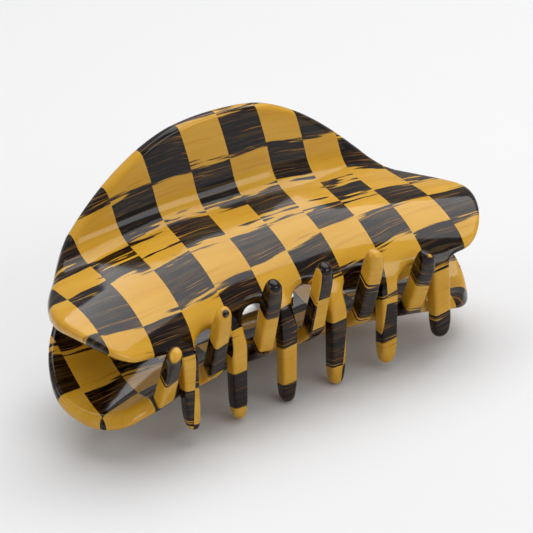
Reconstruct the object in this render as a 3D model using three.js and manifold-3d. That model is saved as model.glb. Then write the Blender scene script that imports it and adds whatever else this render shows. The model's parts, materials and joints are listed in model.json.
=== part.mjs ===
// Claw clip: two identical jaws, each a comb-edged blank cut from acetate sheet and heat-bent, joined back
// to back by a sprung steel hinge. Millimetres, +Z up. The clip lies on a table as it does when it is put
// down: on the tips of its upper teeth and on its lower wing, hinge pin along X, wings towards +Y.
import * as THREE from "three";
import { mergeVertices } from "three/addons/utils/BufferGeometryUtils.js";
import Module from "manifold-3d";

// ---- Blank, laid flat. x runs along the clip. s runs across it, from the tooth tips (negative) through
// the hinge line (zero) to the top of the wing (positive).
const sheetThickness = 3.8;
const halfLength = 54;
const wingReach = 29.8;
const wingCrownHandle = 13;
const flareX = 36.4;
const flareS = 16.6;
const flareAngle = 41.6;
const flareUpperHandle = 14.3;
const flareLowerHandle = 6.7;
const lobeEndS = -8.6;
const lobeTopHandle = 10.4;
const lobeBottomHandle = 4.5;
const lobeCornerX = 42.5;
const lobeCornerHandle = 5;
const lobeEdgeS = -26.7;

// ---- Comb. The teeth are offset from the middle, so that the two jaws' teeth pass each other.
const toothCount = 6;
const toothPitch = 13.16;
const toothOffset = 2.94;
const toothRootWidth = 4.2;
const toothTipWidth = 3.6;
const toothReach = 50.4;
const endToothExtra = 1.6;
const middleSlotS = -20.4;
const endSlotDrop = 16.5;
const combFillet = 3;

// ---- Bends of the blank, measured on its outer face from the flat hinge seat outwards
const seatToTeeth = 4.5;
const seatToWing = 6.4;
const crestRadius = 24.5;
const crestTurn = 46.6;
const bellyRadius = 11.8;
const bellyTurn = 36.2;
const wingRadius = 6.6;
const wingTurn = 68.6;

// ---- Lengthwise warp: outside the flat hinge seat the blank falls away, twists and spreads to its ends
const flatHalfLength = 11;
const warpPower = 1.5;
const endDrop = 5;
const endTwist = 0.44;
const endLean = 0.3;
const endSpread = 0.157;

// ---- Hinge
const hingeHalfGap = 10.3;
const restingGap = 0.3;
const pinRadius = 1.25;
const pinClearance = 0.1;
const pinHeadRadius = 2.1;
const pinHeadThickness = 0.8;
const pinHeadChamfer = 0.4;
const peenedRadius = 1.8;
const peenedCrownRadius = 1;
const peenedRim = 0.3;
const leafThickness = 1;
const leafToTeeth = 5;
const leafToWing = 5.8;
const leafCornerRadius = 1.5;
const eyeRadius = 2.7;
const earRootWidth = 8;
const upperEarX = 6.2;
const earGap = 0.3;
const springWireRadius = 0.6;
const springPinGap = 0.8;
const springCoils = 5;
const springLegAngle = 45;
const springFootLength = 1.6;
const springKneeShare = 0.1;
const screwHeadRadius = 1.6;
const screwHeadHeight = 0.9;
const screwHeadChamfer = 0.4;
const screwSlotWidth = 0.45;
const screwSlotDepth = 0.4;
const screwSlotTurn = 30;
const screwShankRadius = 0.8;
const screwClearance = 0.15;
const screwBite = 2.4;
const screwEdgeMargin = 0.4;

// ---- Fineness of the faceted surfaces
const arcSteps = 3;
const lobeSteps = 6;
const tipSteps = 3;
const roundSides = 24;
const turnPerRow = 12;
const leastRowGap = 0.8;
const coilPlacesPerTurn = 12;
const springSteps = 92;

const wasm = await Module();
wasm.setup();

const radians = THREE.MathUtils.degToRad;
const mix = THREE.MathUtils.lerp;

// ---------------------------------------------------------------- materials

const acetate = (color) => new THREE.MeshStandardMaterial({ color, roughness: 0.18, metalness: 0 });
const steel = (color) => new THREE.MeshStandardMaterial({ color, roughness: 0.35, metalness: 1 });

// ---------------------------------------------------------------- solids

function solidOf(geometry) {
  const bare = geometry.index ? geometry.toNonIndexed() : geometry.clone();
  bare.deleteAttribute("normal");
  bare.deleteAttribute("uv");
  const merged = mergeVertices(bare, 1e-4);
  return new wasm.Manifold(
    new wasm.Mesh({
      numProp: 3,
      vertProperties: merged.attributes.position.array,
      triVerts: new Uint32Array(merged.index.array),
    }),
  );
}

function geometryOf(solid) {
  const mesh = solid.getMesh();
  const geometry = new THREE.BufferGeometry();
  geometry.setAttribute("position", new THREE.BufferAttribute(mesh.vertProperties, 3));
  geometry.setIndex(new THREE.BufferAttribute(mesh.triVerts, 1));
  const flat = geometry.toNonIndexed();
  flat.computeVertexNormals();
  return flat;
}

// A round bar along an axis, from one distance along it to another.
function bar(radius, from, to, axis, sides = roundSides) {
  const geometry = new THREE.CylinderGeometry(radius, radius, to - from, sides);
  geometry.translate(0, (from + to) / 2, 0);
  if (axis === "x") geometry.rotateZ(-Math.PI / 2);
  if (axis === "z") geometry.rotateX(Math.PI / 2);
  return geometry;
}

// ---------------------------------------------------------------- outline of the blank

const wingSide = new THREE.CurvePath();
{
  const slope = radians(flareAngle);
  const crown = new THREE.Vector2(0, wingReach);
  const flare = new THREE.Vector2(flareX, flareS);
  const end = new THREE.Vector2(halfLength, lobeEndS);
  const fall = new THREE.Vector2(Math.cos(slope), -Math.sin(slope));
  const before = flare.clone().addScaledVector(fall, -flareUpperHandle);
  const after = flare.clone().addScaledVector(fall, flareLowerHandle);
  const crownHandle = new THREE.Vector2(wingCrownHandle, wingReach);
  const endHandle = new THREE.Vector2(halfLength, lobeEndS + lobeTopHandle);
  wingSide.add(new THREE.CubicBezierCurve(crown, crownHandle, before, flare));
  wingSide.add(new THREE.CubicBezierCurve(flare, after, endHandle, end));
}

const lobeCorner = new THREE.CubicBezierCurve(
  new THREE.Vector2(lobeCornerX, lobeEdgeS),
  new THREE.Vector2(lobeCornerX + lobeCornerHandle, lobeEdgeS),
  new THREE.Vector2(halfLength, lobeEndS - lobeBottomHandle),
  new THREE.Vector2(halfLength, lobeEndS),
);

// Height of the wing's edge above the hinge line at a distance x from the middle.
function wingEdge(x) {
  const reach = Math.abs(x);
  let low = 0;
  let high = 1;
  const curve = wingSide.curves[reach < flareX ? 0 : 1];
  for (let i = 0; i < 30; i++) {
    const middle = (low + high) / 2;
    if (curve.getPoint(middle).x < reach) low = middle;
    else high = middle;
  }
  return curve.getPoint((low + high) / 2).y;
}

const toothX = (i) => (i - (toothCount - 1) / 2) * toothPitch + toothOffset;
const toothEndS = (i) => -toothReach - endToothExtra * (toothX(i) / halfLength) ** 2;
const slotX = (i) => toothX(i) + toothPitch / 2;
const slotRadius = (toothPitch - toothRootWidth) / 2;
const slotTopS = (i) => middleSlotS - endSlotDrop * (slotX(i) / halfLength) ** 2;

// Lower edge of the palm from the left lobe to the right one, with each tooth's three root points marked.
function combEdge() {
  const edge = [];
  const put = (x, s, tooth) => edge.push({ x, s, tooth });
  for (let k = 0; k <= lobeSteps; k++) {
    const p = lobeCorner.getPoint(1 - k / lobeSteps);
    put(-p.x, p.y);
  }
  const firstSide = toothX(0) - toothRootWidth / 2;
  const lastSide = toothX(toothCount - 1) + toothRootWidth / 2;
  put((-lobeCornerX + firstSide - combFillet) / 2, lobeEdgeS);
  for (let k = 0; k < arcSteps; k++) {
    const turn = ((k / arcSteps) * Math.PI) / 2;
    const x = firstSide - combFillet + combFillet * Math.sin(turn);
    put(x, lobeEdgeS - combFillet + combFillet * Math.cos(turn));
  }
  for (let i = 0; i < toothCount; i++) {
    const leftRoot = i === 0 ? lobeEdgeS - combFillet : slotTopS(i - 1) - slotRadius;
    const rightRoot = i === toothCount - 1 ? lobeEdgeS - combFillet : slotTopS(i) - slotRadius;
    put(toothX(i) - toothRootWidth / 2, leftRoot, i);
    put(toothX(i), (leftRoot + rightRoot) / 2, i);
    put(toothX(i) + toothRootWidth / 2, rightRoot, i);
    if (i === toothCount - 1) break;
    for (let k = 1; k < 2 * arcSteps; k++) {
      const turn = (k / (2 * arcSteps)) * Math.PI;
      const x = slotX(i) - slotRadius * Math.cos(turn);
      put(x, rightRoot + slotRadius * Math.sin(turn));
    }
  }
  for (let k = arcSteps - 1; k >= 0; k--) {
    const turn = ((k / arcSteps) * Math.PI) / 2;
    const x = lastSide + combFillet - combFillet * Math.sin(turn);
    put(x, lobeEdgeS - combFillet + combFillet * Math.cos(turn));
  }
  put((lobeCornerX + lastSide + combFillet) / 2, lobeEdgeS);
  for (let k = 0; k <= lobeSteps; k++) {
    const p = lobeCorner.getPoint(k / lobeSteps);
    put(p.x, p.y);
  }
  return edge;
}

// ---------------------------------------------------------------- bends

const seatU = hingeHalfGap + sheetThickness;

const wingBends = [
  { length: seatToWing, radius: Infinity },
  { length: wingRadius * radians(wingTurn), radius: wingRadius },
  { length: Infinity, radius: Infinity },
];
const toothBends = [
  { length: seatToTeeth, radius: Infinity },
  { length: crestRadius * radians(crestTurn), radius: crestRadius },
  { length: bellyRadius * radians(bellyTurn), radius: bellyRadius },
  { length: Infinity, radius: Infinity },
];

// Follows a chain of bends for a distance: how far along, how far aside, and the heading there.
function follow(distance, bends) {
  let along = 0;
  let aside = 0;
  let heading = 0;
  let left = distance;
  for (const { length, radius } of bends) {
    const run = Math.min(left, length);
    const turned = heading + run / radius;
    if (radius === Infinity) {
      along += run * Math.cos(heading);
      aside += run * Math.sin(heading);
    } else {
      along += radius * (Math.sin(turned) - Math.sin(heading));
      aside += radius * (Math.cos(heading) - Math.cos(turned));
    }
    heading = turned;
    left -= run;
    if (left <= 0) break;
  }
  return { along, aside, heading };
}

// Distances along a chain of bends at which a row of facets starts or ends.
function rowsAlong(bends) {
  const rows = [];
  let distance = 0;
  for (const { length, radius } of bends) {
    if (length === Infinity) break;
    const count = radius === Infinity ? 1 : Math.ceil(length / (radius * radians(turnPerRow)));
    for (let k = 1; k <= count; k++) rows.push(distance + (length * k) / count);
    distance += length;
  }
  return rows;
}

// ---------------------------------------------------------------- flat mesh of the blank

const wingRows = [...rowsAlong(wingBends), (seatToWing + wingRadius * radians(wingTurn) + wingReach) / 2];
const toothRows = rowsAlong(toothBends).map((distance) => -distance);

// Stations across the palm in one column, from its lower edge to its upper one.
function palmStations(low, high) {
  const inside = [...toothRows.toReversed(), ...wingRows].map((s) => {
    if (s < low + leastRowGap) return low;
    return s > high - leastRowGap ? high : s;
  });
  return [low, ...inside, high];
}

// Stations along a tooth below its root, down to the start of its rounded tip.
function toothStations(root, cap) {
  const bends = toothRows.filter((s) => s < root - leastRowGap && s > cap);
  const last = bends.length ? bends[bends.length - 1] : root;
  return [...bends, (last + cap) / 2, cap];
}

// Points [x, s] of the blank and triangles between them, anticlockwise seen from the outer face.
function flatBlank() {
  const points = [];
  const triangles = [];
  const known = new Map();
  const point = (x, s) => {
    const key = x.toFixed(3) + "," + s.toFixed(3);
    if (!known.has(key)) {
      known.set(key, points.length);
      points.push([x, s]);
    }
    return known.get(key);
  };
  const triangle = (a, b, c) => {
    if (a !== b && b !== c && c !== a) triangles.push([a, b, c]);
  };
  const strip = (left, right) => {
    for (let k = 0; k + 1 < left.length; k++) {
      triangle(left[k], right[k], right[k + 1]);
      triangle(left[k], right[k + 1], left[k + 1]);
    }
  };

  const edge = combEdge();
  const columns = edge.map(({ x, s }) => {
    const stations = palmStations(s, Math.max(s, wingEdge(x)));
    return stations.map((at) => point(x, at));
  });
  for (let j = 0; j + 1 < columns.length; j++) strip(columns[j], columns[j + 1]);

  for (let i = 0; i < toothCount; i++) {
    const root = edge.filter((p) => p.tooth === i);
    const tipRadius = toothTipWidth / 2;
    const cap = toothEndS(i) + tipRadius;
    const lowest = Math.min(...root.map((p) => p.s));
    const rows = [root.map((p) => point(p.x, p.s))];
    for (const s of toothStations(lowest, cap)) {
      const half = mix(toothRootWidth, toothTipWidth, (lowest - s) / (lowest - cap)) / 2;
      rows.push([-1, 0, 1].map((side) => point(toothX(i) + side * half, s)));
    }
    for (let k = 1; k <= tipSteps; k++) {
      const turn = ((k / tipSteps) * Math.PI) / 2;
      const half = tipRadius * Math.cos(turn);
      rows.push([-1, 0, 1].map((side) => point(toothX(i) + side * half, cap - tipRadius * Math.sin(turn))));
    }
    for (let k = 0; k + 1 < rows.length; k++) strip(rows[k + 1].toReversed(), rows[k].toReversed());
  }
  return { points, triangles };
}

// ---------------------------------------------------------------- bending the blank

// A place in the bent jaw, in the clip's own frame: X along it, Y from the teeth to the wing in the middle
// plane between the jaws, Z out of that plane. depth is measured in from the outer face.
function bent(x, s, depth) {
  const side = s < 0 ? -1 : 1;
  const { along, aside, heading } = follow(Math.abs(s), s < 0 ? toothBends : wingBends);
  const beyond = Math.max(0, Math.abs(x) - flatHalfLength) / (halfLength - flatHalfLength);
  const share = beyond ** warpPower;
  return new THREE.Vector3(
    x,
    side * along + depth * Math.sin(heading) + (endSpread * s + endLean) * share,
    seatU + side * aside - depth * Math.cos(heading) - (endTwist * s + endDrop) * share,
  );
}

function bentBlank() {
  const { points, triangles } = flatBlank();
  const uses = new Map();
  for (const t of triangles) {
    for (let k = 0; k < 3; k++) {
      const a = t[k];
      const b = t[(k + 1) % 3];
      if (!uses.delete(b + ">" + a)) uses.set(a + ">" + b, [a, b]);
    }
  }
  const outer = points.map(([x, s]) => bent(x, s, 0));
  const inner = points.map(([x, s]) => bent(x, s, sheetThickness));
  const corners = [];
  for (const [a, b, c] of triangles) {
    corners.push(outer[a], outer[b], outer[c]);
    corners.push(inner[a], inner[c], inner[b]);
  }
  for (const [a, b] of uses.values()) {
    corners.push(outer[a], inner[a], inner[b]);
    corners.push(outer[a], inner[b], outer[b]);
  }
  return new THREE.BufferGeometry().setFromPoints(corners);
}

// ---------------------------------------------------------------- hinge places shared by its pieces

const leafHalfLength = flatHalfLength - restingGap;
const leafTopZ = hingeHalfGap - restingGap;
const leafUnderZ = leafTopZ - leafThickness;
const screwX = leafHalfLength - screwHeadRadius - screwEdgeMargin;
const lowerEarX = upperEarX - leafThickness - earGap;

const jawSolid = (() => {
  let solid = solidOf(bentBlank());
  for (const side of [-1, 1]) {
    const hole = bar(
      screwShankRadius + screwClearance,
      hingeHalfGap - restingGap,
      hingeHalfGap + screwBite + restingGap,
      "z",
      roundSides / 2,
    );
    hole.translate(side * screwX, 0, 0);
    solid = solid.subtract(solidOf(hole));
  }
  return solid;
})();

// ---------------------------------------------------------------- hinge pieces, all in the clip's frame

// A leaf: a flat plate against the jaw, with two ears down to the pin.
function leafSolid(earX) {
  const plate = new THREE.Shape();
  const r = leafCornerRadius;
  plate.moveTo(-leafHalfLength + r, -leafToTeeth);
  plate.lineTo(leafHalfLength - r, -leafToTeeth);
  plate.absarc(leafHalfLength - r, -leafToTeeth + r, r, -Math.PI / 2, 0, false);
  plate.absarc(leafHalfLength - r, leafToWing - r, r, 0, Math.PI / 2, false);
  plate.absarc(-leafHalfLength + r, leafToWing - r, r, Math.PI / 2, Math.PI, false);
  plate.absarc(-leafHalfLength + r, -leafToTeeth + r, r, Math.PI, Math.PI * 1.5, false);
  for (const side of [-1, 1]) {
    const hole = new THREE.Path();
    hole.absarc(side * screwX, 0, screwShankRadius + screwClearance, 0, Math.PI * 2, true);
    plate.holes.push(hole);
  }
  const sheet = { depth: leafThickness, bevelEnabled: false, curveSegments: roundSides / 4 };
  const flat = new THREE.ExtrudeGeometry(plate, sheet);
  flat.translate(0, 0, leafUnderZ);
  let solid = solidOf(flat);

  const ear = new THREE.Shape();
  const lean = Math.atan2(earRootWidth / 2 - eyeRadius, leafUnderZ);
  ear.moveTo(-earRootWidth / 2, leafTopZ - leafThickness / 2);
  ear.absarc(0, 0, eyeRadius, Math.PI + lean, Math.PI * 2 - lean, false);
  ear.lineTo(earRootWidth / 2, leafTopZ - leafThickness / 2);
  const eye = new THREE.Path();
  eye.absarc(0, 0, pinRadius + pinClearance, 0, Math.PI * 2, true);
  ear.holes.push(eye);
  for (const side of [-1, 1]) {
    const plane = new THREE.ExtrudeGeometry(ear, {
      depth: leafThickness,
      bevelEnabled: false,
      curveSegments: roundSides / 2,
    });
    plane.translate(0, 0, -leafThickness / 2);
    plane.rotateX(Math.PI / 2);
    plane.rotateZ(Math.PI / 2);
    plane.translate(side * earX, 0, 0);
    solid = solid.add(solidOf(plane));
  }
  return solid;
}

function pinGeometry() {
  const inside = upperEarX + leafThickness / 2 + restingGap;
  const outside = inside + pinHeadThickness;
  const profile = [
    [0, -outside],
    [pinHeadRadius - pinHeadChamfer, -outside],
    [pinHeadRadius, -outside + pinHeadChamfer],
    [pinHeadRadius, -inside],
    [pinRadius, -inside],
    [pinRadius, inside],
    [peenedRadius, inside],
    [peenedRadius, inside + peenedRim],
    [peenedCrownRadius, outside],
    [0, outside],
  ];
  const points = profile.map(([radius, along]) => new THREE.Vector2(radius, along));
  const geometry = new THREE.LatheGeometry(points, roundSides);
  geometry.rotateZ(-Math.PI / 2);
  return geometry;
}

// The spring's wire: a foot under the upper leaf, a leg to the coil, the coil, and a leg to the lower leaf.
function springGeometry() {
  const coilRadius = pinRadius + springPinGap + springWireRadius;
  const lean = radians(springLegAngle);
  const footZ = leafUnderZ - restingGap - springWireRadius;
  const half = lowerEarX - leafThickness / 2 - earGap - springWireRadius;
  const leave = Math.PI / 2 + lean;
  const leaveY = coilRadius * Math.cos(leave);
  const leaveZ = coilRadius * Math.sin(leave);
  const kneeY = leaveY + (footZ - leaveZ) / Math.tan(lean);
  const turn = 2 * (Math.PI - leave) + springCoils * Math.PI * 2;
  const onLeg = (share) => new THREE.Vector3(-half, mix(kneeY, leaveY, share), mix(footZ, leaveZ, share));
  const leg = [
    new THREE.Vector3(-half, kneeY + springFootLength, footZ),
    new THREE.Vector3(-half, kneeY + springFootLength / 2, footZ),
    onLeg(springKneeShare),
    onLeg(0.5),
  ];
  const places = [...leg];
  const count = Math.round((turn / (Math.PI * 2)) * coilPlacesPerTurn);
  for (let k = 0; k <= count; k++) {
    const angle = leave + (turn * k) / count;
    const x = mix(-half, half, k / count);
    places.push(new THREE.Vector3(x, coilRadius * Math.cos(angle), coilRadius * Math.sin(angle)));
  }
  for (const { y, z } of leg.toReversed()) places.push(new THREE.Vector3(half, y, -z));
  const wire = new THREE.Shape();
  wire.absarc(0, 0, springWireRadius, 0, Math.PI * 2, false);
  const path = new THREE.CatmullRomCurve3(places, false, "centripetal");
  const sweep = { steps: springSteps, curveSegments: 4, bevelEnabled: false, extrudePath: path };
  return new THREE.ExtrudeGeometry(wire, sweep);
}

// A screw driven outwards through a leaf into the jaw, slotted on the side that faces the pin.
function screwSolid() {
  const headTop = leafUnderZ - restingGap;
  const headBottom = headTop - screwHeadHeight;
  const tip = hingeHalfGap + screwBite;
  const profile = [
    [0, headBottom],
    [screwHeadRadius - screwHeadChamfer, headBottom],
    [screwHeadRadius, headBottom + screwHeadChamfer],
    [screwHeadRadius, headTop],
    [screwShankRadius, headTop],
    [screwShankRadius, tip - screwShankRadius],
    [0, tip],
  ];
  const points = profile.map(([radius, along]) => new THREE.Vector2(radius, along));
  const body = new THREE.LatheGeometry(points, roundSides / 2);
  body.rotateX(Math.PI / 2);
  const slot = new THREE.BoxGeometry(screwHeadRadius * 3, screwSlotWidth, screwSlotDepth * 2);
  slot.rotateZ(radians(screwSlotTurn));
  slot.translate(0, 0, headBottom);
  return solidOf(body).subtract(solidOf(slot));
}

// ---------------------------------------------------------------- assembly

const clip = new THREE.Group();
const upperHalf = new THREE.Group();
const lowerHalf = new THREE.Group();
lowerHalf.rotation.y = Math.PI;
clip.add(upperHalf, lowerHalf);

function place(parent, name, geometry, material, x = 0) {
  const mesh = new THREE.Mesh(geometry, material);
  mesh.name = name;
  mesh.position.x = x;
  parent.add(mesh);
}

const jawGeometry = geometryOf(jawSolid);
const screwGeometry = geometryOf(screwSolid());
place(upperHalf, "upper_jaw", jawGeometry, acetate(0xb8862f));
place(lowerHalf, "lower_jaw", jawGeometry.clone(), acetate(0x9c6d24));
place(upperHalf, "upper_leaf", geometryOf(leafSolid(upperEarX)), steel(0xc9c9c6));
place(lowerHalf, "lower_leaf", geometryOf(leafSolid(lowerEarX)), steel(0xbcbcba));
place(upperHalf, "upper_leaf_screw_left", screwGeometry, steel(0xd6d6d2), -screwX);
place(upperHalf, "upper_leaf_screw_right", screwGeometry.clone(), steel(0xd6d6d2), screwX);
place(lowerHalf, "lower_leaf_screw_left", screwGeometry.clone(), steel(0xd6d6d2), screwX);
place(lowerHalf, "lower_leaf_screw_right", screwGeometry.clone(), steel(0xd6d6d2), -screwX);
place(clip, "hinge_pin", pinGeometry(), steel(0xb0b0ae));
place(clip, "torsion_spring", springGeometry(), steel(0x9a9a98));

// Lowest corner of one half's jaw with the clip turned about the pin.
function lowestPoint(half, towardsWing, turn) {
  const corner = new THREE.Vector3();
  const lowest = { height: Infinity, y: 0, z: 0 };
  const places = jawGeometry.attributes.position;
  for (let i = 0; i < places.count; i++) {
    corner.fromBufferAttribute(places, i).applyEuler(half.rotation);
    const height = corner.y * Math.sin(turn) + corner.z * Math.cos(turn);
    const onThisSide = corner.y > 0 === towardsWing;
    if (onThisSide && height < lowest.height) {
      Object.assign(lowest, { height, y: corner.y, z: corner.z });
    }
  }
  return lowest;
}

// The turn that brings the upper teeth and the lower wing down to one level.
let lyingTurn = 0;
for (let i = 0; i < 8; i++) {
  const teeth = lowestPoint(upperHalf, false, lyingTurn);
  const wing = lowestPoint(lowerHalf, true, lyingTurn);
  lyingTurn = -Math.atan2(wing.z - teeth.z, wing.y - teeth.y);
}
clip.rotation.x = lyingTurn;
clip.updateMatrixWorld(true);

const part = new THREE.Group();
part.add(clip);
const box = new THREE.Box3().setFromObject(part, true);
const middle = box.getCenter(new THREE.Vector3());
clip.position.set(-middle.x, -middle.y, -box.min.z);

export default part;
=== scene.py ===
"""Claw clip of checkered acetate, lying on a pale table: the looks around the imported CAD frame.

Each jaw is rebuilt here from the same bent blank as the CAD solid, but finely meshed and with its edges
rounded and polished. Every vertex keeps its place in the flat blank, and the acetate's pattern is made
from that place, so it runs over the faces, round the edges and down the teeth as in a real laminated sheet.
"""

import json
import math

import bpy
import numpy as np
from mathutils import Matrix, Vector
from mathutils.geometry import delaunay_2d_cdt


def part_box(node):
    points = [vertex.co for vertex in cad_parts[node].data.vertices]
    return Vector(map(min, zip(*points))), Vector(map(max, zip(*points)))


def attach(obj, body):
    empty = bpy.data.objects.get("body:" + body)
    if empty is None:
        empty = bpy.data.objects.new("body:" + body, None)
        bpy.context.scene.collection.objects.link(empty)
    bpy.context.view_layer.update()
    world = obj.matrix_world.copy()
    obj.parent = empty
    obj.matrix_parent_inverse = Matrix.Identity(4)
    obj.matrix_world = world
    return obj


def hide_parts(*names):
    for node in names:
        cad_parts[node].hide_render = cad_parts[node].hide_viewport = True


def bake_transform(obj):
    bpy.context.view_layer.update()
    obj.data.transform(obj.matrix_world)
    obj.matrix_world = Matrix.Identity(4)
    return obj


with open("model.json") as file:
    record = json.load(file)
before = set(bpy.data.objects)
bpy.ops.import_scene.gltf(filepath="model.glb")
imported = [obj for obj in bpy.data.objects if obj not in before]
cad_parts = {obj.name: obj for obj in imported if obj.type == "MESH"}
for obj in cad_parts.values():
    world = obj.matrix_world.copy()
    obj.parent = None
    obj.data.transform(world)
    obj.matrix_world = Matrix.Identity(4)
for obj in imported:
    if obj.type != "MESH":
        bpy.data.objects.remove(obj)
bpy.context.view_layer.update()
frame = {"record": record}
MM = 0.001

# ---------------------------------------------------------------- the blank, in millimetres
# x runs along the clip and s across it: tooth tips negative, hinge line zero, wing positive.

SHEET_THICKNESS = 3.8
HALF_LENGTH = 54.0
WING_REACH = 29.8
WING_CROWN_HANDLE = 13.0
FLARE_X = 36.4
FLARE_S = 16.6
FLARE_ANGLE = 41.6
FLARE_UPPER_HANDLE = 14.3
FLARE_LOWER_HANDLE = 6.7
LOBE_END_S = -8.6
LOBE_TOP_HANDLE = 10.4
LOBE_BOTTOM_HANDLE = 4.5
LOBE_CORNER_X = 42.5
LOBE_CORNER_HANDLE = 5.0
LOBE_EDGE_S = -26.7

TOOTH_COUNT = 6
TOOTH_PITCH = 13.16
TOOTH_OFFSET = 2.94
TOOTH_ROOT_WIDTH = 4.2
TOOTH_TIP_WIDTH = 3.6
TOOTH_REACH = 50.4
END_TOOTH_EXTRA = 1.6
MIDDLE_SLOT_S = -20.4
END_SLOT_DROP = 16.5
COMB_FILLET = 3.0

SEAT_TO_TEETH = 4.5
SEAT_TO_WING = 6.4
CREST_RADIUS = 24.5
CREST_TURN = 46.6
BELLY_RADIUS = 11.8
BELLY_TURN = 36.2
WING_RADIUS = 6.6
WING_TURN = 68.6

FLAT_HALF_LENGTH = 11.0
WARP_POWER = 1.5
END_DROP = 5.0
END_TWIST = 0.44
END_LEAN = 0.3
END_SPREAD = 0.157

HINGE_HALF_GAP = 10.3

# ---------------------------------------------------------------- fineness and finish
EDGE_RADIUS = 1.5
TOOTH_EDGE_RADIUS = 0.8
TOOTH_TIP_EDGE_RADIUS = 1.6
EDGE_STEPS = 6
OUTLINE_STEP = 0.55
GRID_STEP_X = 1.1
GRID_STEP_S = 0.75
GRID_MARGIN = 0.6 * GRID_STEP_S
CROWN_STEPS = 60
FLARE_STEPS = 50
LOBE_STEPS = 40
FILLET_STEPS = 8
TIP_STEPS = 12
SLOT_STEPS = 20
SMOOTHING_PASSES = 2
TIP_ROUNDING_START = 1.4  # tooth tip widths from the tip
SAME_PLACE = 1e-6

# ---------------------------------------------------------------- outline


def bezier(a, b, c, d, steps):
    t = np.linspace(0, 1, steps + 1)[:, None]
    a, b, c, d = (np.array(p, float) for p in (a, b, c, d))
    return (1 - t) ** 3 * a + 3 * t * (1 - t) ** 2 * b + 3 * t**2 * (1 - t) * c + t**3 * d


def arc(centre, radius, start, end, steps):
    turn = np.radians(np.linspace(start, end, steps + 1))
    return np.stack([centre[0] + radius * np.cos(turn), centre[1] + radius * np.sin(turn)], -1)


def tooth_x(i):
    return (i - (TOOTH_COUNT - 1) / 2) * TOOTH_PITCH + TOOTH_OFFSET


def blank_outline():
    """The blank's outline as a closed polyline, clockwise from the left lobe's lower corner over the wing."""
    fall = np.array([math.cos(math.radians(FLARE_ANGLE)), -math.sin(math.radians(FLARE_ANGLE))])
    flare = np.array([FLARE_X, FLARE_S])
    crown_side = bezier(
        (0, WING_REACH),
        (WING_CROWN_HANDLE, WING_REACH),
        flare - FLARE_UPPER_HANDLE * fall,
        flare,
        CROWN_STEPS,
    )
    flare_side = bezier(
        flare,
        flare + FLARE_LOWER_HANDLE * fall,
        (HALF_LENGTH, LOBE_END_S + LOBE_TOP_HANDLE),
        (HALF_LENGTH, LOBE_END_S),
        FLARE_STEPS,
    )
    lobe_side = bezier(
        (HALF_LENGTH, LOBE_END_S),
        (HALF_LENGTH, LOBE_END_S - LOBE_BOTTOM_HANDLE),
        (LOBE_CORNER_X + LOBE_CORNER_HANDLE, LOBE_EDGE_S),
        (LOBE_CORNER_X, LOBE_EDGE_S),
        LOBE_STEPS,
    )
    right = np.vstack([crown_side, flare_side[1:], lobe_side[1:]])
    left = (right * [-1, 1])[::-1]
    comb = []
    slot_radius = (TOOTH_PITCH - TOOTH_ROOT_WIDTH) / 2
    tip_radius = TOOTH_TIP_WIDTH / 2
    last = tooth_x(TOOTH_COUNT - 1) + TOOTH_ROOT_WIDTH / 2 + COMB_FILLET
    comb.append(arc((last, LOBE_EDGE_S - COMB_FILLET), COMB_FILLET, 90, 180, FILLET_STEPS))
    for i in reversed(range(TOOTH_COUNT)):
        x = tooth_x(i)
        cap = -TOOTH_REACH - END_TOOTH_EXTRA * (x / HALF_LENGTH) ** 2 + tip_radius
        comb.append(arc((x, cap), tip_radius, 0, -180, TIP_STEPS))
        if i > 0:
            slot_x = x - TOOTH_PITCH / 2
            top = MIDDLE_SLOT_S - END_SLOT_DROP * (slot_x / HALF_LENGTH) ** 2
            comb.append(arc((slot_x, top - slot_radius), slot_radius, 0, 180, SLOT_STEPS))
    first = tooth_x(0) - TOOTH_ROOT_WIDTH / 2 - COMB_FILLET
    comb.append(arc((first, LOBE_EDGE_S - COMB_FILLET), COMB_FILLET, 0, 90, FILLET_STEPS))
    return np.vstack([left, right[1:], *comb])


def resampled(line, step):
    """The closed polyline with points a constant distance apart."""
    closed = np.vstack([line, line[:1]])
    keep = np.r_[True, np.hypot(*np.diff(closed, axis=0).T) > SAME_PLACE]
    closed = closed[keep]
    along = np.r_[0, np.cumsum(np.hypot(*np.diff(closed, axis=0).T))]
    count = int(along[-1] / step)
    at = np.linspace(0, along[-1], count, endpoint=False)
    return np.stack([np.interp(at, along, closed[:, k]) for k in (0, 1)], -1)


def smoothed(line, passes):
    """Rounds the small corners of a closed polyline."""
    for _ in range(passes):
        line = (np.roll(line, 1, 0) + 2 * line + np.roll(line, -1, 0)) / 4
    return line


def inward(line):
    """Unit normals of a closed clockwise polyline, into the shape."""
    tangent = np.roll(line, -1, 0) - np.roll(line, 1, 0)
    tangent /= np.hypot(*tangent.T)[:, None]
    return np.stack([tangent[:, 1], -tangent[:, 0]], -1)


# ---------------------------------------------------------------- bends


def follow(distance, bends):
    """Along, aside and heading after following a chain of (length, curvature) bends."""
    along = np.zeros_like(distance)
    aside = np.zeros_like(distance)
    heading = np.zeros_like(distance)
    left = distance.copy()
    for length, curvature in bends:
        run = np.clip(left, 0, length)
        turned = heading + run * curvature
        if curvature == 0:
            along += run * np.cos(heading)
            aside += run * np.sin(heading)
        else:
            along += (np.sin(turned) - np.sin(heading)) / curvature
            aside += (np.cos(heading) - np.cos(turned)) / curvature
        heading = turned
        left = left - run
    return along, aside, heading


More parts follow.
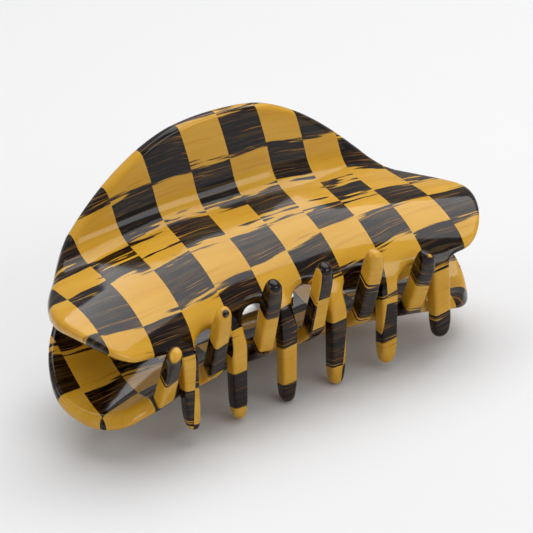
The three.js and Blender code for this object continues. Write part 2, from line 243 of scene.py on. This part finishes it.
REST_OF_BLANK = 1000  # longer than any blank, so that the last stretch runs straight to its edge
WING_BENDS = (
    (SEAT_TO_WING, 0),
    (WING_RADIUS * math.radians(WING_TURN), 1 / WING_RADIUS),
    (REST_OF_BLANK, 0),
)
TOOTH_BENDS = (
    (SEAT_TO_TEETH, 0),
    (CREST_RADIUS * math.radians(CREST_TURN), 1 / CREST_RADIUS),
    (BELLY_RADIUS * math.radians(BELLY_TURN), 1 / BELLY_RADIUS),
    (REST_OF_BLANK, 0),
)


def bent(x, s, depth):
    """Places in the bent jaw, in the clip's own frame, in millimetres: X along it, Y towards the wing, Z out
    of the middle plane between the jaws. depth is measured in from the outer face."""
    toothed = s < 0
    wing = follow(np.maximum(s, 0), WING_BENDS)
    comb = follow(np.maximum(-s, 0), TOOTH_BENDS)
    along, aside, heading = (np.where(toothed, c, w) for c, w in zip(comb, wing))
    side = np.where(toothed, -1, 1)
    beyond = np.maximum(0, np.abs(x) - FLAT_HALF_LENGTH) / (HALF_LENGTH - FLAT_HALF_LENGTH)
    share = beyond**WARP_POWER
    y = side * along + depth * np.sin(heading) + (END_SPREAD * s + END_LEAN) * share
    z = HINGE_HALF_GAP + SHEET_THICKNESS + side * aside - depth * np.cos(heading)
    z = z - (END_TWIST * s + END_DROP) * share
    return np.stack([x, y, z], -1)


# ---------------------------------------------------------------- from the clip's frame to the CAD frame

low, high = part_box("hinge_pin")
PIN = (np.array(low) + np.array(high)) / 2 / MM
seat_axis = frame["record"]["mounts"][0]["axis"]
LYING_TURN = math.atan2(-seat_axis[1], seat_axis[2])


def in_frame(points, lower=False):
    """Metres in the CAD frame from millimetres in the clip's frame. The lower half is the upper one turned
    half a turn about the clip's Y axis."""
    if lower:
        points = points * [-1, 1, -1]
    c, s = math.cos(LYING_TURN), math.sin(LYING_TURN)
    turned = points @ np.array([[1, 0, 0], [0, c, -s], [0, s, c]]).T
    return (turned + PIN) * MM


# ---------------------------------------------------------------- jaws


def inside(points, loop):
    """Which points lie inside a closed polyline, by crossings."""
    ax, ay = loop.T
    bx, by = np.roll(loop, -1, 0).T
    px, py = points[:, 0, None], points[:, 1, None]
    spans = (ay > py) != (by > py)
    with np.errstate(divide="ignore", invalid="ignore"):
        crossing = ax + (py - ay) * (bx - ax) / (by - ay)
    return (spans & (px < crossing)).sum(1) % 2 == 1


def face_mesh(loop):
    """Grid points inside a loop, and triangles over the loop's points followed by the grid's."""
    low, high = loop.min(0), loop.max(0)
    xs = np.arange(low[0], high[0], GRID_STEP_X)
    ss = np.arange(low[1], high[1], GRID_STEP_S)
    grid = np.stack(np.meshgrid(xs, ss), -1).reshape(-1, 2)
    margin = loop + inward(loop) * GRID_MARGIN
    grid = grid[inside(grid, margin)]
    points = [Vector(p) for p in np.vstack([loop, grid])]
    edges = [(i, (i + 1) % len(loop)) for i in range(len(loop))]
    _, _, faces, sources, _, _ = delaunay_2d_cdt(points, edges, [], 1, 1e-7)
    source = [s[0] for s in sources]
    return grid, [tuple(source[i] for i in face) for face in faces]


outline = smoothed(resampled(blank_outline(), OUTLINE_STEP), SMOOTHING_PASSES)
normals = inward(outline)
toothed = np.clip((LOBE_EDGE_S - outline[:, 1]) / COMB_FILLET, 0, 1)
radius = EDGE_RADIUS + (TOOTH_EDGE_RADIUS - EDGE_RADIUS) * toothed
to_tip = outline[:, 1] + TOOTH_REACH + END_TOOTH_EXTRA * (outline[:, 0] / HALF_LENGTH) ** 2
tipped = np.clip(TIP_ROUNDING_START - to_tip / TOOTH_TIP_WIDTH, 0, 1)
radius = radius + (TOOTH_TIP_EDGE_RADIUS - radius) * tipped
rings = []
depths = []
for a in np.radians(np.linspace(0, 90, EDGE_STEPS + 1)):
    rings.append(outline + normals * (radius * (1 - math.sin(a)))[:, None])
    depths.append(radius * (1 - math.cos(a)))
rings += rings[::-1]
depths += [SHEET_THICKNESS - depth for depth in reversed(depths)]
grid, triangles = face_mesh(rings[0])

flat = [np.column_stack([ring, depth]) for ring, depth in zip(rings, depths)]
for depth in (0.0, SHEET_THICKNESS):
    flat.append(np.column_stack([grid, np.full(len(grid), depth)]))
flat = np.vstack(flat)

around = len(outline)
last_ring = (len(rings) - 1) * around
outer_grid = len(rings) * around
inner_grid = outer_grid + len(grid)
faces = []
for r in range(len(rings) - 1):
    for i in range(around):
        j = (i + 1) % around
        a, b = r * around, (r + 1) * around
        faces.append((a + i, a + j, b + j, b + i))
for triangle in triangles:
    faces.append(tuple(i if i < around else outer_grid + i - around for i in triangle))
    inner = tuple(last_ring + i if i < around else inner_grid + i - around for i in triangle)
    faces.append(inner[::-1])


def add_mesh(name, points, faces, material):
    mesh = bpy.data.meshes.new(name)
    mesh.from_pydata([tuple(p) for p in points], [], faces)
    mesh.shade_smooth()
    mesh.materials.append(material)
    piece = bpy.data.objects.new(name, mesh)
    bpy.context.scene.collection.objects.link(piece)
    return piece


def add_jaw(name, node, body, material, lower):
    places = bent(flat[:, 0], flat[:, 1], flat[:, 2])
    piece = add_mesh(name, in_frame(places, lower), faces, material)
    blank = piece.data.attributes.new("blank", "FLOAT_VECTOR", "POINT")
    blank.data.foreach_set("vector", flat.astype(np.float32).ravel())
    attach(piece, body)
    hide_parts(node)
    return piece


# ---------------------------------------------------------------- materials


class Nodes:
    """A material's node tree, with short calls for the nodes the materials here are made of."""

    def __init__(self, name):
        self.material = bpy.data.materials.new(name)
        self.material.use_nodes = True
        self.tree = self.material.node_tree
        self.shader = self.tree.nodes["Principled BSDF"]

    def put(self, socket, value):
        if isinstance(value, bpy.types.NodeSocket):
            self.tree.links.new(value, socket)
        else:
            socket.default_value = value

    def math(self, operation, *values, clamp=False):
        node = self.tree.nodes.new("ShaderNodeMath")
        node.operation = operation
        node.use_clamp = clamp
        for socket, value in zip(node.inputs, values):
            self.put(socket, value)
        return node.outputs[0]

    def step(self, value, low, high):
        """0 below low, 1 above high, smooth between."""
        node = self.tree.nodes.new("ShaderNodeMapRange")
        node.interpolation_type = "SMOOTHSTEP"
        self.put(node.inputs["Value"], value)
        self.put(node.inputs["From Min"], low)
        self.put(node.inputs["From Max"], high)
        return node.outputs["Result"]

    def swing(self, noise, reach):
        """A noise of 0 to 1 made to swing about zero, over this reach from end to end."""
        return self.math("MULTIPLY", self.math("SUBTRACT", noise, 0.5), reach)

    def vector(self, x, y, z):
        node = self.tree.nodes.new("ShaderNodeCombineXYZ")
        for socket, value in zip(node.inputs, (x, y, z)):
            self.put(socket, value)
        return node.outputs[0]

    def noise(self, vector, scale=1.0, detail=2.0, roughness=0.5):
        node = self.tree.nodes.new("ShaderNodeTexNoise")
        self.put(node.inputs["Vector"], vector)
        self.put(node.inputs["Scale"], scale)
        self.put(node.inputs["Detail"], detail)
        self.put(node.inputs["Roughness"], roughness)
        return node.outputs["Fac"]

    def mix(self, factor, a, b):
        node = self.tree.nodes.new("ShaderNodeMix")
        node.data_type = "RGBA"
        self.put(node.inputs["Factor"], factor)
        self.put(node.inputs["A"], a)
        self.put(node.inputs["B"], b)
        return node.outputs["Result"]

    def bump(self, height, strength, distance):
        node = self.tree.nodes.new("ShaderNodeBump")
        self.put(node.inputs["Height"], height)
        self.put(node.inputs["Strength"], strength)
        self.put(node.inputs["Distance"], distance)
        self.put(self.shader.inputs["Normal"], node.outputs["Normal"])


def rgb(red, green, blue):
    """Linear colour with alpha from 8-bit sRGB values."""
    linear = [((c / 255 + 0.055) / 1.055) ** 2.4 if c > 10 else c / 3295 for c in (red, green, blue)]
    return (*linear, 1.0)


# Checks of the sheet, in millimetres of the flat blank
CHECK_WIDTH = 10.12
CHECK_HEIGHT = 10.5
CHECK_SHIFT = 4.5
CHECK_SHIFT_X = 28.0
CHECK_SPLAY = 0.0048
CHECK_SPLAY_FROM = 8.0
TOOTH_SPLAY = 0.10
TOOTH_SPLAY_FROM = -22.0
UPPER_CHECK_START = (-27.9, -2.2)
LOWER_CHECK_START = (-22.4, -9.0)
BELLY_STEP = -0.1  # the rows' shift grows by this share for each millimetre towards the teeth
TEETH_LEVEL = (-38.0, -28.0)
FIRST_STRIP = 40.0  # even, and more than the strips or rows on either side of the start
STRIP_VARIETY = 7.31

# Layers within a strip: how far they lean and wave, and how fine their streaks are along X and across
LAYER_LEAN = 0.35
SWAY_ALONG = 0.07
SWAY_REACH = 2.2
RAGGED = (0.045, 0.40)
THREADS = (0.06, 1.0)
HAIRS = (0.06, 3.0)
BROAD = (0.045, 0.22)
RAGGED_REACH = 1.5
MIXED_REACH = 3.6
THREAD_REACH = 1.3
HAIR_REACH = 0.4
MIXED_MIDDLE = 3.0
MIXED_FADE = (4.5, 8.0)
COLOUR_EDGE = 0.07

CLEAR_DEPTH = 0.35
SCATTER_COLOUR = (1.0, 0.55, 0.2)
SCATTER_REACH = 0.002
POLISH_ROUGHNESS = 0.05
SMEAR_ROUGHNESS = 0.07
SMEAR_FREQUENCY = 0.3
BUFF_FREQUENCY = 0.14
BUFF_STRENGTH = 0.12
BUFF_HEIGHT = 0.0006
ACETATE_IOR = 1.49
ACETATE_SPECULAR = 0.34

AMBER = rgb(192, 144, 36)
HONEY = rgb(198, 152, 50)
DEEP_AMBER = rgb(178, 120, 22)
BLACK_BROWN = rgb(8, 3, 2)
BROWN = rgb(48, 22, 14)
OLIVE = rgb(70, 52, 22)


def acetate_material(name, check_start, shift_by, tooth_splay):
    """Checks of dark and amber acetate. The strips are butted along X with straight, sharp joints; within a
    strip the two colours were laid in layers, so they meet in ragged streaks that run along X."""
    n = Nodes(name)
    place = n.tree.nodes.new("ShaderNodeAttribute")
    place.attribute_name = "blank"
    split = n.tree.nodes.new("ShaderNodeSeparateXYZ")
    n.put(split.inputs[0], place.outputs["Vector"])
    x, s, depth = split.outputs

    # the strips splay a little towards the wing's crown
    splayed = n.math("MAXIMUM", n.math("SUBTRACT", s, CHECK_SPLAY_FROM), 0.0)
    splayed = n.math("MULTIPLY", n.math("MULTIPLY", splayed, splayed), CHECK_SPLAY)
    on_teeth = n.math("MAXIMUM", n.math("SUBTRACT", TOOTH_SPLAY_FROM, s), 0.0)
    splayed = n.math("ADD", splayed, n.math("MULTIPLY", on_teeth, tooth_splay))
    column = n.math("SUBTRACT", n.math("ADD", x, splayed), check_start[0])
    column = n.math("DIVIDE", column, CHECK_WIDTH)
    strip = n.math("FLOOR", column)
    odd = n.math("MODULO", n.math("ADD", strip, FIRST_STRIP), 2.0)
    shift = n.math("MULTIPLY", strip, STRIP_VARIETY)

    # Height in the strip's layers, which wave slowly along X and lean a little through the sheet
    sway = n.noise(n.vector(n.math("MULTIPLY", x, SWAY_ALONG), shift, 2.0), detail=1.0)
    layer = n.math("ADD", s, n.math("MULTIPLY", depth, LAYER_LEAN))
    # across the belly the rows step down to the left and up to the right, less so on the right's teeth
    lean = n.math("MINIMUM", n.math("DIVIDE", x, CHECK_SHIFT_X), n.step(s, *TEETH_LEVEL))
    lean = n.math("MULTIPLY", n.math("MAXIMUM", lean, -1.0), n.math("MULTIPLY", s, BELLY_STEP, clamp=True))
    layer = n.math("SUBTRACT", layer, n.math("MULTIPLY", lean, shift_by))
    layer = n.math("ADD", layer, n.swing(sway, SWAY_REACH))

    def streaks(fineness, detail, roughness=0.5):
        along, across = fineness
        place = n.vector(n.math("MULTIPLY", x, along), n.math("MULTIPLY", layer, across), shift)
        return n.noise(place, detail=detail, roughness=roughness)

    ragged = streaks(RAGGED, 2.0, 0.6)
    thread = streaks(THREADS, 3.0, 0.6)
    hair = streaks(HAIRS, 2.0, 0.6)
    broad = streaks(BROAD, 1.0)

    # -1 in the middle of one row and +1 in the middle of the next, and swapped in every other strip
    row = n.math("DIVIDE", n.math("SUBTRACT", layer, check_start[1]), CHECK_HEIGHT)
    wave = n.math("PINGPONG", n.math("ADD", row, FIRST_STRIP + 0.5), 1.0)
    wave = n.math("SUBTRACT", n.math("MULTIPLY", wave, 2.0), 1.0)
    dark_side = n.math("MULTIPLY", wave, n.math("SUBTRACT", n.math("MULTIPLY", odd, 2.0), 1.0))

    # the layers were thinner and more mixed where the hinge line runs
    from_middle = n.math("ABSOLUTE", n.math("SUBTRACT", s, MIXED_MIDDLE))
    mixed = n.math("SUBTRACT", 1.0, n.step(from_middle, *MIXED_FADE))
    reach = n.math("ADD", RAGGED_REACH, n.math("MULTIPLY", mixed, MIXED_REACH))
    edge = n.math("ADD", dark_side, n.swing(ragged, reach))
    edge = n.math("ADD", edge, n.swing(thread, THREAD_REACH))
    edge = n.math("ADD", edge, n.swing(hair, HAIR_REACH))
    dark = n.step(edge, -COLOUR_EDGE, COLOUR_EDGE)

    # threads of brown, olive and amber lie in the dark layers, and the amber has faint bands
    amber = n.mix(n.step(broad, 0.35, 0.65), AMBER, HONEY)
    amber = n.mix(n.math("MULTIPLY", n.step(thread, 0.52, 0.72), 0.45), amber, DEEP_AMBER)
    brown = n.mix(n.math("MULTIPLY", n.step(thread, 0.52, 0.38), 0.65), BLACK_BROWN, OLIVE)
    brown = n.mix(n.math("MULTIPLY", n.step(hair, 0.53, 0.63), 0.85), brown, BROWN)
    brown = n.mix(n.math("MULTIPLY", n.step(hair, 0.64, 0.70), 0.6), brown, DEEP_AMBER)
    colour = n.mix(dark, amber, brown)
    n.put(n.shader.inputs["Base Color"], colour)

    # clear depth in the amber, none in the dark; a buffed surface with faint long polishing waves
    clear = n.math("MULTIPLY", n.math("SUBTRACT", 1.0, dark), CLEAR_DEPTH)
    n.put(n.shader.inputs["Subsurface Weight"], clear)
    n.put(n.shader.inputs["Subsurface Radius"], SCATTER_COLOUR)
    n.put(n.shader.inputs["Subsurface Scale"], SCATTER_REACH)

    def polishing(frequency, detail):
        place = n.vector(n.math("MULTIPLY", x, frequency), n.math("MULTIPLY", s, frequency), depth)
        return n.noise(place, detail=detail)

    smear = n.math("MULTIPLY", polishing(SMEAR_FREQUENCY, 2.0), SMEAR_ROUGHNESS)
    n.put(n.shader.inputs["Roughness"], n.math("ADD", POLISH_ROUGHNESS, smear))
    n.put(n.shader.inputs["IOR"], ACETATE_IOR)
    n.put(n.shader.inputs["Specular IOR Level"], ACETATE_SPECULAR)
    n.bump(polishing(BUFF_FREQUENCY, 1.0), BUFF_STRENGTH, BUFF_HEIGHT)
    return n.material


STAIN_SCALE = 350.0
STAIN_DARKNESS = 0.55
STAIN_COVER = 0.5
GRAIN_ROUGHNESS = 0.25
GRAIN_STRENGTH = 0.25
GRAIN_HEIGHT = 0.00004


def steel_material(name, bright, grain, roughness):
    """Drawn or stamped steel: fine lines along the grain direction, with stains of darker oxide."""
    n = Nodes(name)
    place = n.tree.nodes.new("ShaderNodeTexCoord").outputs["Object"]
    split = n.tree.nodes.new("ShaderNodeSeparateXYZ")
    n.put(split.inputs[0], place)
    scaled = [n.math("MULTIPLY", axis, by) for axis, by in zip(split.outputs, grain)]
    lines = n.noise(n.vector(*scaled), detail=3.0, roughness=0.7)
    stain = n.noise(place, scale=STAIN_SCALE, detail=3.0)
    dull = tuple(STAIN_DARKNESS * c for c in bright[:3]) + (1.0,)
    tone = n.math("MULTIPLY", n.step(stain, 0.4, 0.75), STAIN_COVER)
    n.put(n.shader.inputs["Base Color"], n.mix(tone, bright, dull))
    n.put(n.shader.inputs["Metallic"], 1.0)
    n.put(n.shader.inputs["Roughness"], n.math("ADD", roughness, n.swing(lines, GRAIN_ROUGHNESS)))
    n.bump(lines, GRAIN_STRENGTH, GRAIN_HEIGHT)
    return n.material


# The two blanks come from different places in the sheet, so their checks start at different places
upper_acetate = acetate_material("upper_acetate", UPPER_CHECK_START, CHECK_SHIFT, TOOTH_SPLAY)
lower_acetate = acetate_material("lower_acetate", LOWER_CHECK_START, 0.0, 0.0)
add_jaw("upper_jaw_bent", "upper_jaw", "upper", upper_acetate, lower=False)
add_jaw("lower_jaw_bent", "lower_jaw", "lower", lower_acetate, lower=True)

# ---------------------------------------------------------------- hinge

STEEL = rgb(196, 196, 192)
leaf_steel = steel_material("leaf_steel", STEEL, (300, 6000, 6000), 0.32)
screw_steel = steel_material("screw_steel", rgb(204, 204, 200), (4000, 4000, 500), 0.28)
pin_steel = steel_material("pin_steel", rgb(190, 190, 188), (300, 7000, 7000), 0.25)
spring_steel = steel_material("spring_steel", rgb(168, 168, 166), (500, 5000, 5000), 0.3)


def dress(node, material):
    piece = bpy.data.objects[node]
    piece.data.materials.clear()
    piece.data.materials.append(material)


for half in ("upper", "lower"):
    dress(f"{half}_leaf", leaf_steel)
    for side in ("left", "right"):
        dress(f"{half}_leaf_screw_{side}", screw_steel)
dress("hinge_pin", pin_steel)

# The spring's wire and places, in the clip's frame
WIRE_RADIUS = 0.6
COIL_RADIUS = 2.65
COIL_TURNS = 5
COIL_HALF = 3.5
LEG_ANGLE = math.radians(45)
FOOT_LENGTH = 1.6
KNEE_SHARE = 0.1
KNEE_START = 0.6
LEAF_THICKNESS = 1.0
RESTING_GAP = 0.3
FOOT_Z = HINGE_HALF_GAP - RESTING_GAP - LEAF_THICKNESS - RESTING_GAP - WIRE_RADIUS
FOOT_STEPS = 3
KNEE_STEPS = 8
LEG_STEPS = 6
STEPS_PER_TURN = 32
WIRE_SIDES = 20
DOME_LENGTH = 0.6
DOME_ANGLES = (30, 60, 80)


def spring_path():
    """The wire's centre line: foot, leg, coil, leg and foot, with the knees rounded."""
    leave = math.pi / 2 + LEG_ANGLE
    leave_y, leave_z = COIL_RADIUS * math.cos(leave), COIL_RADIUS * math.sin(leave)
    knee_y = leave_y + (FOOT_Z - leave_z) / math.tan(LEG_ANGLE)
    turn = 2 * (math.pi - leave) + COIL_TURNS * 2 * math.pi
    knee = np.array([knee_y, FOOT_Z])
    after = knee + KNEE_SHARE * (np.array([leave_y, leave_z]) - knee)
    t = np.linspace(0, 1, KNEE_STEPS + 1)[:, None]
    bend = (1 - t) ** 2 * (knee + [KNEE_START, 0]) + 2 * t * (1 - t) * knee + t**2 * after
    foot = np.linspace(knee + [FOOT_LENGTH, 0], knee + [KNEE_START, 0], FOOT_STEPS + 1)[:-1]
    run = np.linspace(after, [leave_y, leave_z], LEG_STEPS + 1)[1:-1]
    leg = np.vstack([foot, bend, run])
    share = np.linspace(0, 1, STEPS_PER_TURN * COIL_TURNS)
    angle = leave + turn * share
    coil = np.stack(
        [COIL_HALF * (2 * share - 1), COIL_RADIUS * np.cos(angle), COIL_RADIUS * np.sin(angle)], -1
    )
    first = np.column_stack([np.full(len(leg), -COIL_HALF), leg])
    second = np.column_stack([np.full(len(leg), COIL_HALF), leg * [1, -1]])[::-1]
    return np.vstack([first, coil, second])


def tube(path, radius, around):
    """A round wire along a path, with domed ends, as points and faces."""
    ahead = np.gradient(path, axis=0)
    ahead /= np.linalg.norm(ahead, axis=1)[:, None]
    side = np.cross(ahead[0], [1.0, 0, 0])
    rings = []
    for place, forward in zip(path, ahead):
        side = side - forward * (side @ forward)
        side /= np.linalg.norm(side)
        up = np.cross(forward, side)
        turn = np.linspace(0, 2 * math.pi, around, endpoint=False)[:, None]
        rings.append(place + radius * (np.cos(turn) * side + np.sin(turn) * up))
    for end, way in ((0, -1), (-1, 1)):
        centre, ring, forward = path[end], rings[end], ahead[end] * way
        domes = [
            centre + (ring - centre) * math.cos(a) + forward * radius * DOME_LENGTH * math.sin(a)
            for a in np.radians(DOME_ANGLES)
        ]
        rings = domes[::-1] + rings if end == 0 else rings + domes
    faces = []
    for r in range(len(rings) - 1):
        for i in range(around):
            j = (i + 1) % around
            a, b = r * around, (r + 1) * around
            faces.append((a + i, a + j, b + j, b + i))
    faces.append(tuple(range(around))[::-1])
    faces.append(tuple((len(rings) - 1) * around + i for i in range(around)))
    return np.vstack(rings), faces


wire_points, wire_faces = tube(spring_path(), WIRE_RADIUS, WIRE_SIDES)
spring = add_mesh("torsion_spring_wire", in_frame(wire_points), wire_faces, spring_steel)
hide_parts("torsion_spring")
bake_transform(spring)

# ---------------------------------------------------------------- table, light and camera


MOTTLE_SCALE = 9.0
MOTTLE_DARKNESS = 0.985


def plain_material(name, colour, roughness):
    """A matt surface with a barely visible mottle."""
    n = Nodes(name)
    place = n.tree.nodes.new("ShaderNodeTexCoord").outputs["Object"]
    mottle = n.noise(place, scale=MOTTLE_SCALE, detail=4.0)
    pale = tuple(c * MOTTLE_DARKNESS for c in colour[:3]) + (1.0,)
    n.put(n.shader.inputs["Base Color"], n.mix(mottle, pale, colour))
    n.put(n.shader.inputs["Roughness"], roughness)
    return n.material


TABLE_HALF = 3.0
TABLE_COLOUR = rgb(217, 217, 218)
TABLE_ROUGHNESS = 0.9
STUDIO_STRENGTH = 0.42
table = add_mesh(
    "table",
    np.array([[-1, -1, 0], [1, -1, 0], [1, 1, 0], [-1, 1, 0]]) * TABLE_HALF,
    [(0, 1, 2, 3)],
    plain_material("table", TABLE_COLOUR, TABLE_ROUGHNESS),
)

world = bpy.data.worlds.new("studio")
bpy.context.scene.world = world
world.use_nodes = True
background = world.node_tree.nodes["Background"]
background.inputs["Color"].default_value = (1.0, 1.0, 1.0, 1.0)
background.inputs["Strength"].default_value = STUDIO_STRENGTH
MIDDLE = Vector(in_frame(np.zeros((1, 3)))[0])


def softbox(name, place, size, power):
    lamp = bpy.data.lights.new(name, "AREA")
    lamp.shape = "RECTANGLE"
    lamp.size, lamp.size_y = size
    lamp.energy = power
    piece = bpy.data.objects.new(name, lamp)
    piece.location = MIDDLE + Vector(place)
    piece.rotation_euler = (-Vector(place)).to_track_quat("-Z", "Y").to_euler()
    bpy.context.scene.collection.objects.link(piece)


softbox("overhead", (0.22, 0.15, 0.85), (1.15, 0.95), 9.2)
softbox("front", (0.15, -0.90, 0.50), (0.80, 0.40), 3.2)
softbox("left_fill", (-0.70, 0.10, 0.40), (0.25, 0.35), 0.6)

# The camera stands off the hinge's middle at these angles, in the clip's own frame
CAMERA_AZIMUTH = 33.31
CAMERA_ELEVATION = 39.37
CAMERA_ROLL = 4.13
CAMERA_DISTANCE = 0.49298
CAMERA_AIM = (0.00431, 0.00040)
CAMERA_LENS = 143.0

view = (
    Matrix.Rotation(math.radians(CAMERA_ROLL), 3, "Y")
    @ Matrix.Rotation(math.radians(CAMERA_ELEVATION), 3, "X")
    @ Matrix.Rotation(math.radians(CAMERA_AZIMUTH), 3, "Z")
)
lying = Matrix.Rotation(LYING_TURN, 3, "X")
right, ahead, up = (lying @ Vector(row) for row in view)
camera = bpy.data.objects.new("camera", bpy.data.cameras.new("camera"))
camera.data.lens = CAMERA_LENS
camera.data.clip_start = 0.01
camera.data.clip_end = 20.0
turned = Matrix((right, up, -ahead)).transposed().to_4x4()
offset = right * CAMERA_AIM[0] + up * CAMERA_AIM[1]
camera.matrix_world = Matrix.Translation(MIDDLE + offset - ahead * CAMERA_DISTANCE) @ turned
bpy.context.scene.collection.objects.link(camera)
bpy.context.scene.camera = camera
bpy.context.scene.view_settings.view_transform = "Standard"
